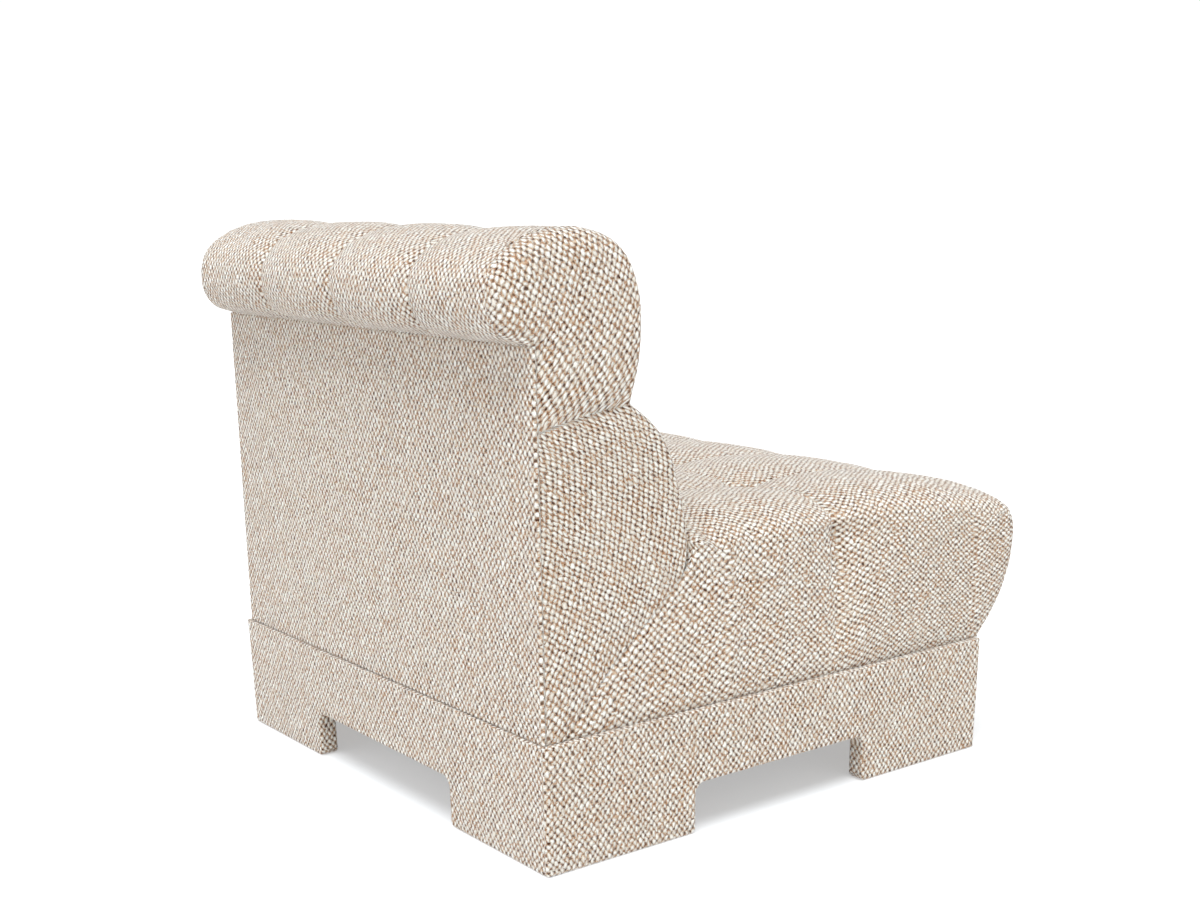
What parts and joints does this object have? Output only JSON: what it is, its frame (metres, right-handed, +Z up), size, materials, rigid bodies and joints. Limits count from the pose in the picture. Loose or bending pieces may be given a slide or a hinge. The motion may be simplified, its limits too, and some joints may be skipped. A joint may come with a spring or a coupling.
{
  "type": "lounge chair",
  "caption": "Armless lounge chair with a tufted seat, a channelled back ending in a fat roll, and a fabric-wrapped plinth with arched cut-outs.",
  "frame": {"origin": "on the floor, under the middle of the chair's outline", "axes": "+Z up, -Y the way the sitter faces, X across the chair; left and right in the names are as seen from the front"},
  "size_m": [0.806, 0.8983, 0.7759],
  "materials": {
    "boucle_fabric": "chunky cream and rust-brown basket weave boucle",
    "plywood": "bare birch plywood",
    "hardwood": "bare planed hardwood",
    "board": "brown hardboard and card",
    "foam": "pale yellow upholstery foam",
    "webbing": "woven elastic webbing",
    "felt": "grey needled felt",
    "twine": "waxed flax twine",
    "dust_cloth": "black non-woven cloth",
    "steel": "zinc plated steel",
    "nylon": "dark moulded nylon"
  },
  "bodies": {
    "root": {"plinth_cover": "boucle_fabric", "seat_cover": "boucle_fabric", "lumbar_cover": "boucle_fabric", "roll_cover": "boucle_fabric", "back_left_cover": "boucle_fabric", "back_right_cover": "boucle_fabric", "outside_back_cover": "boucle_fabric", "plinth_front_board": "plywood", "plinth_back_board": "plywood", "plinth_left_board": "plywood", "plinth_right_board": "plywood", "seat_corner_braces": "plywood", "back_left_former": "plywood", "back_right_former": "plywood", "roll_tube_plugs": "plywood", "seat_front_rail": "hardwood", "seat_back_rail": "hardwood", "seat_left_rail": "hardwood", "seat_right_rail": "hardwood", "back_left_post": "hardwood", "back_right_post": "hardwood", "back_bottom_rail": "hardwood", "back_middle_rail": "hardwood", "back_top_rail": "hardwood", "plinth_corner_blocks": "hardwood", "outside_back_board": "board", "back_tack_strip": "board", "roll_tube": "board", "seat_foam_core": "foam", "seat_front_foam": "foam", "lumbar_foam": "foam", "roll_foam": "foam", "back_webbing_upright": "webbing", "back_webbing_across": "webbing", "seat_deck_felt": "felt", "seat_tuft_ties": "twine", "back_tuft_ties": "twine", "dust_cover": "dust_cloth", "plinth_screws": "steel", "base_screws": "steel", "base_washers": "steel", "back_bolts": "steel", "back_bolt_washers": "steel", "back_bolt_nuts": "steel", "seat_springs": "steel", "spring_clips": "steel", "dust_cover_staples": "steel", "foot_glides": "nylon"}
  },
  "joints": []
}
